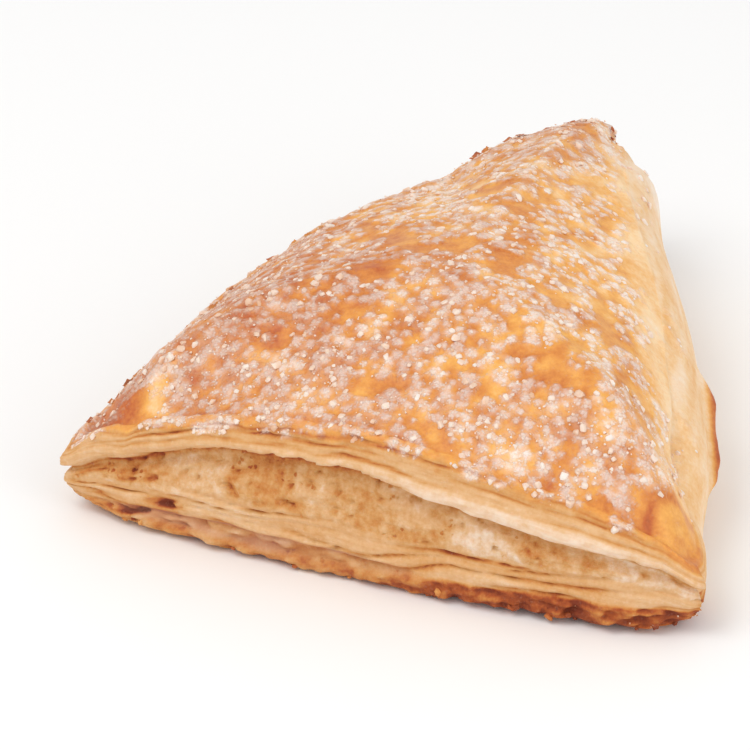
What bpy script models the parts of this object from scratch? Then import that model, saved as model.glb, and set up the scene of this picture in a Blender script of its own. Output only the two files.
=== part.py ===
"""Sugared puff pastry turnover: a square of dough folded corner to corner into a triangle and baked.

The pastry lies on its flat underside. +Z is up, the fold runs along Y on the +X side, and the corner
opposite the fold, where the two cut sides meet, points to -X. The origin is the centre of the bounding
box on the underside. Units are metres.
"""

import math

import bmesh
import bpy

# Driving dimensions: the three sides of the triangle in plan and the top of the dome
FOLD_LENGTH = 0.1508
NEAR_LEG = 0.1229
FAR_LEG = 0.1459
CREST_HEIGHT = 0.043

# How sharp the corners are in plan, at the top and round the underside, the share of a side's height
# over which the underside's rounder outline grows into the sharper one, and the least that a side is
# taken to face away from the centre
CORNER_SHARPNESS = 11.0
BASE_SHARPNESS = 5.8
LEAST_FACING = 0.62
TUCK_HEIGHT = 0.40

# Values at the three corners and at the middle of the three sides, in order round the pastry
LANDMARKS = ("apex", "near_cut", "near_corner", "fold", "far_corner", "far_cut")
RIM_HEIGHT = dict(zip(LANDMARKS, (0.0096, 0.0293, 0.0086, 0.0286, 0.0230, 0.0291)))
EDGE_LIFT = dict(zip(LANDMARKS, (0.0015, 0.0002, 0.0019, 0.0012, 0.0022, 0.0006)))

# Per side, near cut then fold then far cut: how far the middle bows out, and how soon the side leaves
# its corner values (a smaller power gives a longer level stretch)
SIDE_BOW = (0.0035, 0.0028, 0.0056)
SIDE_HOLD = (0.44, 0.47, 0.47)

# How far the apex, near corner and far corner are drawn out from the centre, and the share of a side
# over which that fades
CORNER_REACH = (0.0013, -0.0019, 0.0009)
REACH_SPAN = 0.18

# Profiles of a side from the underside's edge to the rim: share of the side's height, step outwards
CUT_PROFILE = (
    (0.00, -0.0022),
    (0.04, -0.0006),
    (0.12, 0.0004),
    (0.19, -0.0002),
    (0.24, -0.0016),
    (0.31, -0.0010),
    (0.45, -0.0012),
    (0.53, -0.0028),
    (0.64, -0.0036),
    (0.74, -0.0034),
    (0.80, -0.0018),
    (0.88, -0.0014),
    (0.95, -0.0022),
    (1.00, -0.0036),
)
FOLD_PROFILE = (
    (0.00, -0.0052),
    (0.05, -0.0034),
    (0.12, -0.0018),
    (0.20, -0.0006),
    (0.29, 0.0002),
    (0.38, 0.0006),
    (0.47, 0.0007),
    (0.56, 0.0004),
    (0.65, -0.0001),
    (0.73, -0.0009),
    (0.81, -0.0020),
    (0.88, -0.0032),
    (0.94, -0.0046),
    (1.00, -0.0064),
)

# A side lower than the near cut's middle has shallower steps, by its height plus this share
STEP_FLOOR = 0.15

# The fold's profile takes over from the cut profile within this share of the fold at its two ends
FOLD_TURN = 0.10

# The dome's fall from the crest, as a power of the share of the way out: towards a side and, by this
# many radii further out, towards a corner. It falls to a shoulder, and the corners' own drop below the
# shoulder comes late, by another power. The rings grow round near the crest.
SHOULDER_HEIGHT = 0.0290
SIDE_FALL = 2.3
CORNER_FALL = 3.0
CORNER_RADII = 1.2
LATE_DROP = 5.0
CREST_ROUNDNESS = 0.034

# Mesh density: points round the outline, rings over the dome, packed towards the rim, and rings of
# the underside, flat up to a share of the way out
OUTLINE_STEPS = 6000
STATIONS = 132
TOP_RINGS = 12
TOP_PACKING = 0.85
BASE_RINGS = (0.30, 0.58, 0.80, 0.92)
FLAT_SHARE = 0.80

CRUST_COLOUR = (0.82, 0.46, 0.24, 1.0)
CRUST_ROUGHNESS = 0.6


def clear_scene():
    for thing in list(bpy.data.objects):
        bpy.data.objects.remove(thing)


def triangle_corners():
    """Apex, near corner and far corner in plan, with the fold parallel to Y."""
    near_share = (NEAR_LEG**2 - FAR_LEG**2 + FOLD_LENGTH**2) / (2 * FOLD_LENGTH)
    depth = math.sqrt(NEAR_LEG**2 - near_share**2)
    return (0.0, 0.0), (depth, -near_share), (depth, FOLD_LENGTH - near_share)


def incircle(corners):
    """Centre and radius of the circle that touches all three sides."""
    a, b, c = corners
    facing = (math.dist(b, c), math.dist(c, a), math.dist(a, b))
    around = sum(facing)
    centre = tuple(sum(w * p[k] for w, p in zip(facing, corners)) / around for k in (0, 1))
    area = 0.5 * abs((b[0] - a[0]) * (c[1] - a[1]) - (c[0] - a[0]) * (b[1] - a[1]))
    return centre, 2 * area / around


def reach(angle, corners, radius, sharpness):
    """Distance from the centre to the outline in one direction: a triangle with rounded corners."""
    total = 0.0
    for start, end in zip(corners, corners[1:] + corners[:1]):
        side = (end[0] - start[0], end[1] - start[1])
        length = math.hypot(*side)
        outwards = (side[1] / length, -side[0] / length)
        facing = outwards[0] * math.cos(angle) + outwards[1] * math.sin(angle)
        total += (max(facing, 0.0) / radius) ** sharpness
    return total ** (-1 / sharpness)


def corner_reach(side, share):
    """How far a point of a side is drawn out, from the corners at its two ends."""
    start, end = CORNER_REACH[side], CORNER_REACH[(side + 1) % 3]
    fades = (max(0.0, 1 - share / REACH_SPAN) ** 2, max(0.0, 1 - (1 - share) / REACH_SPAN) ** 2)
    return start * fades[0] + end * fades[1]


def outline(corners, centre, radius):
    """Evenly spaced stations round the pastry from the apex, anticlockwise seen from above: where each
    is along its side, its heading and distance from the centre, the step to the underside's rounder
    outline, and how much longer a step across the side is when it is taken along the heading."""
    start = math.atan2(corners[0][1] - centre[1], corners[0][0] - centre[0])
    angles = [start + 2 * math.pi * k / OUTLINE_STEPS for k in range(OUTLINE_STEPS + 1)]
    points = []
    for angle in angles:
        r = reach(angle, corners, radius, CORNER_SHARPNESS)
        points.append((centre[0] + r * math.cos(angle), centre[1] + r * math.sin(angle)))
    travelled = [0.0]
    for p, q in zip(points, points[1:]):
        travelled.append(travelled[-1] + math.dist(p, q))
    corner_at = [0.0]
    for corner in corners[1:]:
        heading = math.atan2(corner[1] - centre[1], corner[0] - centre[0])
        turn = (heading - start) % (2 * math.pi)
        corner_at.append(travelled[round(OUTLINE_STEPS * turn / (2 * math.pi))])
    corner_at.append(travelled[-1])

    stations = []
    k = 0
    for i in range(STATIONS):
        wanted = travelled[-1] * i / STATIONS
        while travelled[k + 1] < wanted:
            k += 1
        p, q = points[k], points[k + 1]
        side = max(n for n in range(3) if corner_at[n] <= wanted)
        share = (wanted - corner_at[side]) / (corner_at[side + 1] - corner_at[side])
        far = math.dist(p, centre)
        heading = ((p[0] - centre[0]) / far, (p[1] - centre[1]) / far)
        facing = (heading[0] * (q[1] - p[1]) - heading[1] * (q[0] - p[0])) / math.dist(p, q)
        station = {"side": side, "share": share, "heading": heading}
        station["far"] = far + corner_reach(side, share)
        station["pull"] = reach(angles[k], corners, radius, BASE_SHARPNESS) - far
        station["lean"] = 1 / max(facing, LEAST_FACING)
        stations.append(station)
    return stations


def along(values, station):
    """A property's value at a station, from its values at the two corners and mid-side."""
    start = values[LANDMARKS[2 * station["side"]]]
    middle = values[LANDMARKS[2 * station["side"] + 1]]
    end = values[LANDMARKS[(2 * station["side"] + 2) % 6]]
    straight = start + (end - start) * station["share"]
    swell = math.sin(math.pi * station["share"]) ** SIDE_HOLD[station["side"]]
    return straight + (middle - 0.5 * (start + end)) * swell


def smooth(x):
    x = min(max(x, 0.0), 1.0)
    return x * x * (3 - 2 * x)


def foldness(station):
    """1 along the fold, 0 along the cut sides, turning smoothly within the fold's two ends."""
    if station["side"] != 1:
        return 0.0
    return smooth(station["share"] / FOLD_TURN) * smooth((1 - station["share"]) / FOLD_TURN)


def side_points(station, centre):
    """The side's profile at one station, from the underside's edge to the rim. All its points lie on
    the station's heading, so that neighbours never cross."""
    bottom = max(0.0, along(EDGE_LIFT, station))
    top = along(RIM_HEIGHT, station)
    fold = foldness(station)
    depth = min(1.0, (top - bottom) / RIM_HEIGHT["near_cut"] + STEP_FLOOR)
    bow = SIDE_BOW[station["side"]] * math.sin(math.pi * station["share"])
    found = []
    for (cut_z, cut_out), (fold_z, fold_out) in zip(CUT_PROFILE, FOLD_PROFILE):
        height = cut_z + (fold_z - cut_z) * fold
        out = bow + (cut_out + (fold_out - cut_out) * fold) * depth
        tuck = 1 - smooth(height / TUCK_HEIGHT)
        far = station["far"] + out * station["lean"] + tuck * station["pull"]
        x = centre[0] + station["heading"][0] * far
        y = centre[1] + station["heading"][1] * far
        found.append((x, y, bottom + (top - bottom) * height))
    return found


def inner_point(edge, centre, share):
    """A point on the way from the centre to the edge, on rings that grow round towards the centre."""
    dx, dy = edge[0] - centre[0], edge[1] - centre[1]
    far = math.hypot(dx, dy)
    reached = share * (share * far + (1 - share) * CREST_ROUNDNESS)
    return centre[0] + dx / far * reached, centre[1] + dy / far * reached


def top_point(rim, centre, radius, share):
    """A point of the domed top between the centre and the rim."""
    x, y = inner_point(rim, centre, share)
    far = math.hypot(rim[0] - centre[0], rim[1] - centre[1])
    corner = smooth((far / radius - 1) / CORNER_RADII)
    fall = SIDE_FALL + (CORNER_FALL - SIDE_FALL) * corner
    low = SHOULDER_HEIGHT + (rim[2] - SHOULDER_HEIGHT) * share**LATE_DROP
    return x, y, low + (CREST_HEIGHT - low) * (1 - share**fall)


def base_point(edge, centre, share):
    """A point of the underside: flat in the middle, lifting towards the edge."""
    x, y = inner_point(edge, centre, share)
    lift = max(0.0, (share - FLAT_SHARE) / (1 - FLAT_SHARE)) ** 2
    return x, y, edge[2] * lift


def pastry_rings(stations, centre, radius):
    """Closed rings of points from the middle of the underside, up the sides and over the dome."""
    sides = [side_points(s, centre) for s in stations]
    rings = [[base_point(side[0], centre, share) for side in sides] for share in BASE_RINGS]
    rings += [[side[level] for side in sides] for level in range(len(CUT_PROFILE))]
    for k in range(TOP_RINGS - 1, 0, -1):
        share = (k / TOP_RINGS) ** TOP_PACKING
        rings.append([top_point(side[-1], centre, radius, share) for side in sides])
    return rings


def skin(name, rings, centre):
    """One closed mesh over the rings, with a point at each end."""
    form = bmesh.new()
    loops = [[form.verts.new(p) for p in ring] for ring in rings]
    under = form.verts.new((centre[0], centre[1], 0.0))
    crest = form.verts.new((centre[0], centre[1], CREST_HEIGHT))
    count = len(loops[0])
    for lower, upper in zip(loops, loops[1:]):
        for i in range(count):
            j = (i + 1) % count
            form.faces.new((lower[i], lower[j], upper[j], upper[i]))
    for i in range(count):
        j = (i + 1) % count
        form.faces.new((under, loops[0][j], loops[0][i]))
        form.faces.new((crest, loops[-1][i], loops[-1][j]))
    bmesh.ops.recalc_face_normals(form, faces=form.faces)
    mesh = bpy.data.meshes.new(name)
    form.to_mesh(mesh)
    form.free()
    mesh.shade_smooth()
    return mesh


def centre_on_origin(mesh):
    """Moves the mesh so that its bounding box stands centred on the origin."""
    xs = [v.co.x for v in mesh.vertices]
    ys = [v.co.y for v in mesh.vertices]
    shift = (-(min(xs) + max(xs)) / 2, -(min(ys) + max(ys)) / 2)
    for vertex in mesh.vertices:
        vertex.co.x += shift[0]
        vertex.co.y += shift[1]


def crust_material():
    material = bpy.data.materials.new("baked_crust")
    material.use_nodes = True
    shader = material.node_tree.nodes["Principled BSDF"]
    shader.inputs["Base Color"].default_value = CRUST_COLOUR
    shader.inputs["Roughness"].default_value = CRUST_ROUGHNESS
    return material


def make_pastry():
    corners = triangle_corners()
    centre, radius = incircle(corners)
    stations = outline(corners, centre, radius)
    mesh = skin("pastry", pastry_rings(stations, centre, radius), centre)
    centre_on_origin(mesh)
    mesh.materials.append(crust_material())
    pastry = bpy.data.objects.new("pastry", mesh)
    bpy.context.scene.collection.objects.link(pastry)


clear_scene()
make_pastry()
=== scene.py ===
import math
import random

import bpy
import numpy as np
from mathutils import Matrix, Vector, noise
from mathutils.bvhtree import BVHTree
from mathutils.kdtree import KDTree


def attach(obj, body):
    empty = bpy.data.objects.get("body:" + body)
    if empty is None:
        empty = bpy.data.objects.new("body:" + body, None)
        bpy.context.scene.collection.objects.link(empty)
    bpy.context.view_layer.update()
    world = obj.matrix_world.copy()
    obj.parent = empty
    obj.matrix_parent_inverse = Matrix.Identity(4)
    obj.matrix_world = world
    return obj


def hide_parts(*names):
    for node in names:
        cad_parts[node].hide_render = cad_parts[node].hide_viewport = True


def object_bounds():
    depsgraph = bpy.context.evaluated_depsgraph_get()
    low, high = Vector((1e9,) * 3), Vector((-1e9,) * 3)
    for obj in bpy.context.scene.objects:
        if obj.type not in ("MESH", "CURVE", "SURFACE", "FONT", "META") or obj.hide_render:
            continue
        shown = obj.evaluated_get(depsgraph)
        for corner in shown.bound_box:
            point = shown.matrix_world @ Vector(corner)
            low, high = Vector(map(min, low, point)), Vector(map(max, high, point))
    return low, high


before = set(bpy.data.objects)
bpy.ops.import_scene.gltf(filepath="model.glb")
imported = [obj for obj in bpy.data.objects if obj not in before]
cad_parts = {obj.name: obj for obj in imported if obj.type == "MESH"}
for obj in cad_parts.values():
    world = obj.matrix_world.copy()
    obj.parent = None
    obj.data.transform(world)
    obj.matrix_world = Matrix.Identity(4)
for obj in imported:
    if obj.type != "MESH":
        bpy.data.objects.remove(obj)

mm = 0.001
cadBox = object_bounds()
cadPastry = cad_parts["pastry"]


def say(words):
    print("turnover:", words)


def paint(red, green, blue):  # a colour as a screen shows it, 0 to 255, made linear
    return tuple(((c / 255 + 0.055) / 1.055) ** 2.4 for c in (red, green, blue)) + (1.0,)


def ease(x, start, end):  # 0 before start, 1 after end, smooth between them
    t = np.clip((x - start) / (end - start), 0, 1)
    return t * t * (3 - 2 * t)


def bell(x, width, power=2):  # 1 at 0, fading to both sides over the width
    return np.exp(-((x / width) ** power))


def mix(a, b, share):
    return a + (b - a) * share


def drift(points, sizes, seed):  # smooth noise, about -1 to 1, with waves of the given sizes in mm
    shift = Vector((seed * 17.31, seed * 5.17, seed * 9.73))
    flat = (points / (np.array(sizes) * mm)).reshape(-1, 3).tolist()
    found = [noise.noise(Vector(p) + shift) for p in flat]
    return 1.6 * np.array(found).reshape(points.shape[:-1])


def nothingSelected():
    if bpy.context.object and bpy.context.object.mode != "OBJECT":
        bpy.ops.object.mode_set(mode="OBJECT")
    bpy.ops.object.select_all(action="DESELECT")


def onlySelected(piece):
    nothingSelected()
    piece.select_set(True)
    bpy.context.view_layer.objects.active = piece


def readPoints(mesh):
    points = np.empty(len(mesh.vertices) * 3, dtype=np.float32)
    mesh.vertices.foreach_get("co", points)
    return points.reshape(-1, 3).astype(np.float64)


def writeValues(mesh, name, values):
    layer = mesh.attributes.new(name, "FLOAT", "POINT")
    layer.data.foreach_set("value", np.asarray(values, dtype=np.float32).ravel())


# The outline of the core, walked once round from the apex: the near cut side is side 0, the fold
# is side 1 and the far cut side is side 2

walkRound = {
    "headings": 1440,
    "stations": 560,
    "foldDensity": 0.8,  # stations along the fold, against 1 along the cut sides
    "leastFacing": 0.62,
    "cutRimDepth": 3.6 * mm,  # how far in from the outline the top begins
    "foldRimDepth": 6.4 * mm,
    "foldTurn": 0.10,  # share of the fold over which its round side takes over at each end
    "cornerLift": 1.7 * mm,
    "sideLift": 0.3 * mm,
    "heightStep": 0.4 * mm,
    "fullHeight": 29.3 * mm,  # a rim as high as this has steps of full depth
    "rayStart": 0.3,
    "roughStep": 4,  # the outline is first looked for at every fourth height
    "slack": 0.05 * mm,
    "footGap": 0.8 * mm,
}


def coreReach(tree, centre, heading, height):
    out = walkRound["rayStart"]
    start = Vector((centre[0] + out * heading[0], centre[1] + out * heading[1], height))
    hit = tree.ray_cast(start, Vector((-heading[0], -heading[1], 0)))[0]
    return 0.0 if hit is None else math.dist((hit.x, hit.y), centre)


def ringMean(values, width):  # a running mean right round the outline
    wide = np.concatenate((values[-width:], values, values[:width]))
    kernel = np.ones(2 * width + 1) / (2 * width + 1)
    return np.convolve(wide, kernel, mode="valid")


def walkTheOutline(tree, points):
    w = walkRound
    centre = tuple(points[np.argmax(points[:, 2])][:2])
    heights = np.arange(w["heightStep"], cadBox[1].z, w["heightStep"])
    count = w["headings"]
    angles = math.pi * (2 * np.arange(count) / count)
    rough = heights[::w["roughStep"]]
    far = np.array([
        max(coreReach(tree, centre, (math.cos(a), math.sin(a)), z) for z in rough) for a in angles
    ])
    east = np.cos(angles) > 0
    south = np.sin(angles) < 0
    apex = np.argmax(np.where(np.cos(angles) < -0.7, far, 0))
    nearCorner = np.argmax(np.where(east & south, far, 0))
    farCorner = np.argmax(np.where(east & ~south, far, 0))

    steps = np.arange(count + 1)
    radius = far[(apex + steps) % count]
    turn = angles[apex] + math.pi * 2 * steps / count
    path = np.stack((np.cos(turn) * radius, np.sin(turn) * radius), 1)
    lengths = np.linalg.norm(np.diff(path, axis=0), axis=1)
    atNear, atFar = (nearCorner - apex) % count, (farCorner - apex) % count
    onFold = (steps[:-1] >= atNear) & (steps[:-1] < atFar)
    run = np.concatenate(((0.0,), np.cumsum(lengths)))
    weighted = np.concatenate(((0.0,), np.cumsum(lengths * np.where(onFold, w["foldDensity"], 1.0))))

    place = np.interp(weighted[-1] * np.arange(w["stations"]) / w["stations"], weighted, steps)
    turnAt, runAt = np.interp(place, steps, turn), np.interp(place, steps, run)
    bounds = np.array((0.0, run[atNear], run[atFar], run[-1]))
    side = np.searchsorted(bounds, runAt, side="right") - 1
    found = {
        "centre": np.array(centre),
        "heading": np.stack((np.cos(turnAt), np.sin(turnAt)), 1),
        "far": np.interp(place, steps, radius),
        "side": side,
        "share": (runAt - bounds[side]) / np.diff(bounds)[side],
    }

    edge = found["heading"] * found["far"][:, None]
    across = np.roll(edge, -2, 0) - np.roll(edge, 2, 0)
    across /= np.linalg.norm(across, axis=1)[:, None]
    facing = found["heading"][:, 0] * across[:, 1] - found["heading"][:, 1] * across[:, 0]
    found["lean"] = 1 / np.maximum(facing, w["leastFacing"])
    ends = ease(found["share"], 0, w["foldTurn"]) * ease(1 - found["share"], 0, w["foldTurn"])
    found["fold"] = np.where(side == 1, ends, 0.0)

    reach = np.array([[coreReach(tree, centre, h, z) for z in heights] for h in found["heading"]])
    depth = mix(w["cutRimDepth"], w["foldRimDepth"], found["fold"])
    thin = np.ones(w["stations"])
    for _ in range(3):  # low stretches have shallower steps, so the height is found in rounds
        least = found["far"] - depth * thin * found["lean"] - w["slack"]
        top = len(heights) - 1 - np.argmax((reach >= least[:, None])[:, ::-1], axis=1)
        thin = np.minimum(1, heights[top] / w["fullHeight"] + 0.15)
    found["thin"] = ringMean(thin, 3)
    found["rim"] = ringMean(heights[top], 4)
    found["base"] = mix(w["sideLift"], w["cornerLift"], np.abs(2 * found["share"] - 1) ** 4)
    low = reach[np.arange(w["stations"]), np.round(found["base"] / w["heightStep"]).astype(int) + 2]
    found["tuck"] = ringMean(np.minimum(0, low - found["far"] + w["footGap"]), 3)
    say(f"rim from {found['rim'].min() / mm:.1f} to {found['rim'].max() / mm:.1f} mm")
    return found


tree = BVHTree.FromObject(cadPastry, bpy.context.evaluated_depsgraph_get())
outline = walkTheOutline(tree, readPoints(cadPastry.data))
middle = outline["centre"]
edgePoints = middle + outline["heading"] * outline["far"][:, None]
corners = {
    "apex": edgePoints[0],
    "near": edgePoints[int(np.argmax(outline["side"] == 1))],
    "far": edgePoints[int(np.argmax(outline["side"] == 2))],
}


def flatDistance(points, spot):  # seen from above
    return np.linalg.norm(points[..., :2] - spot, axis=-1)


def fromCorner(points, name):  # in mm
    return flatDistance(points, corners[name]) / mm


def closeTo(points, name, span):  # 1 at a corner, fading over the span in mm
    return bell(flatDistance(points, corners[name]), span * mm)


def edgeDistance(points, start, end):  # how far inside the edge between two corners, negative beyond it
    across = corners[end] - corners[start]
    across = across / np.linalg.norm(across)
    return (points[..., :2] - corners[start]) @ np.array((-across[1], across[0]))


def foldDistance(points):
    return edgeDistance(points, "near", "far")


def cutDistance(points):
    return edgeDistance(points, "apex", "near")


# The cut sides

cutSide = {
    "height": 29,  # of a full side, in mm
    "leafPitch": 2.1,
    "leafApart": 3.7,  # how far apart in the noise two leaves lie, so that each has its own waves
    "crustDepth": 0.8,  # how far each band lies in from the outline, in mm
    "hollowDepth": 1.35,
    "stackDepth": 1.45,
    "crumbDepth": 1.5,
    "lipProfile": ((0.0, 0.08, 0.22, 0.45, 0.75, 0.95, 1.0), (1.6, 0.7, 0.4, 0.75, 1.5, 2.3, 3.2)),
    # creases of the lip: their band, share of the lip's height, seed and half width in mm
    "creases": (
        ("lowCrease", 0.46, 11, 0.40),
        ("midCrease", 0.64, 13, 0.28),
        ("highCrease", 0.80, 12, 0.30),
    ),
    "hollowTone": 0.48,
    "stackTone": 0.30,
    "lipTone": 0.29,
    # from the bottom crust up: crust, hollow, stack, open crumb and lip
    # mauve painted shade for each band, most of it in the hollow under the leaves
    "mauveShade": (0.15, 1.0, 0.05, 0.0, 0.0),
    "openness": (0.7, 0.5, 0.2, 1.0, 0.0),
}

# Waves in the dough of the cut sides: their sizes in mm, the last one upright, and their seeds
doughWaves = {
    "bend": ((17, 17, 200), 1),
    "kink": ((5, 5, 30), 2),
    "patch": ((22, 22, 9), 3),
    "fine": ((2.6, 2.6, 1.2), 4),
    "crumb": ((6, 6, 3), 5),
    "leafCount": ((24, 24, 4), 6),
    "strand": ((1.3, 1.3, 7), 9),
    "cell": ((2.2, 2.2, 1.6), 10),
    "sheet": ((9, 9, 1.4), 14),
    "lump": ((2.4, 2.4, 1.8), 15),
    "scallop": ((8, 8, 400), 16),
    "golden": ((12, 12, 8), 17),
    "blotch": ((8, 8, 2.5), 18),
    "notch": ((3.5, 3.5, 400), 19),
}

# The bands of a cut side, from the apex to its other corner: heights of the bottom crust and of
# the hollow above it in mm, tops of the leaves and of the open crumb as shares of the side
cutBands = {
    "near": {
        "at": (0.00, 0.12, 0.30, 0.50, 0.62, 0.80, 1.00),
        "crust": (2.4, 2.4, 2.2, 2.8, 4.2, 4.6, 3.8),
        "hollow": (2.4, 4.3, 5.3, 5.2, 4.2, 4.6, 3.8),
        "stack": (0.44, 0.42, 0.42, 0.38, 0.36, 0.40, 0.46),
        "lip": (0.60, 0.72, 0.77, 0.74, 0.68, 0.64, 0.66),
        "crustShade": (0.56, 0.58, 0.58, 0.64, 0.86, 0.92, 0.84),
        "mauveShade": (0.0, 0.6, 0.8, 0.6, 0.0, 0.0, 0.0),
        "crumbShade": (0.42, 0.35, 0.39, 0.54, 0.25, 0.27, 0.30),
        "paleRoll": (0.1, 0.1, 0.2, 0.6, 1.0, 0.9, 0.4),
        "lowCrease": (0.2, 0.5, 0.6, 0.9, 1.0, 0.9, 0.6),
        "midCrease": (0.3, 0.8, 1.0, 0.5, 0.4, 0.7, 0.3),
        "highCrease": (0.5, 0.9, 0.4, 0.9, 0.9, 0.6, 0.2),
    },
    "far": {
        "at": (0.00, 0.20, 0.35, 0.50, 0.65, 0.85, 1.00),
        "crust": (2.4, 2.8, 3.2, 2.6, 2.2, 2.9, 2.8),
        "hollow": (2.4, 2.8, 5.0, 5.8, 4.6, 2.9, 2.8),
        "stack": (0.44, 0.38, 0.41, 0.43, 0.40, 0.38, 0.42),
        "lip": (0.60, 0.70, 0.73, 0.76, 0.71, 0.67, 0.66),
        "crustShade": (0.60, 0.80, 0.86, 0.74, 0.62, 0.78, 0.84),
        "mauveShade": (0.0, 0.0, 0.5, 0.7, 0.4, 0.0, 0.0),
        "crumbShade": (0.42, 0.44, 0.38, 0.46, 0.42, 0.44, 0.40),
        "paleRoll": (0.3, 0.5, 0.8, 0.9, 0.6, 0.4, 0.4),
        "lowCrease": (0.3, 0.8, 1.0, 0.9, 0.6, 0.5, 0.6),
        "midCrease": (0.3, 0.5, 0.4, 0.9, 1.0, 0.6, 0.3),
        "highCrease": (0.5, 0.4, 0.9, 0.6, 0.5, 0.9, 0.2),
    },
}

# Single cracks: the side, share of its length, share of its height, half length and half width
# in the same shares, and depth in mm
cracks = (
    (0, 0.155, 0.27, 0.030, 0.032, 1.5),
    (0, 0.095, 0.13, 0.034, 0.030, 1.3),
    (0, 0.66, 0.345, 0.10, 0.013, 0.8),
    (2, 0.86, 0.25, 0.020, 0.020, 1.1),
    (2, 0.40, 0.33, 0.08, 0.013, 0.8),
    (2, 0.18, 0.30, 0.05, 0.015, 0.8),
)


def crackDepth(h):
    depth = np.zeros(h.shape)
    for side, along, high, length, width, deep in cracks:
        away = outline["share"] - along
        here = deep * bell(away, length, 4) * bell(h - (high + 0.25 * away), width)
        depth = np.maximum(depth, here * (outline["side"] == side))
    return depth


def bandTrack(name):  # a band's value at every station
    side, share = outline["side"], outline["share"]
    near, far = cutBands["near"], cutBands["far"]
    onNear = np.interp(share, near["at"], near[name])
    onFar = np.interp(1 - share, far["at"], far[name])
    onFold = mix(near[name][-1], far[name][-1], share)
    return ringMean(np.where(side == 0, onNear, np.where(side == 1, onFold, onFar)), 5)


def lipCreases(upLip, leaves, lipRise):  # where the rolls of the lip fold in, and how brown the fold is
    folds, creases = np.zeros(upLip.shape), np.zeros(upLip.shape)
    for name, place, seed, width in cutSide["creases"]:
        at = place + 0.11 * drift(leaves, (34, 34, 400), seed)
        at += 0.035 * drift(leaves, (7, 7, 400), seed + 30)
        fading = drift(leaves, (13, 13, 400), seed + 10)
        strength = bandTrack(name) * np.clip(0.70 + 0.75 * fading, 0.05, 1.15)
        gap = (upLip - at) * lipRise
        folds = np.maximum(folds, strength * bell(gap, width))
        creases = np.maximum(creases, strength * bell(gap + 0.1, 0.75 * width))
    return folds, creases


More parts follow.
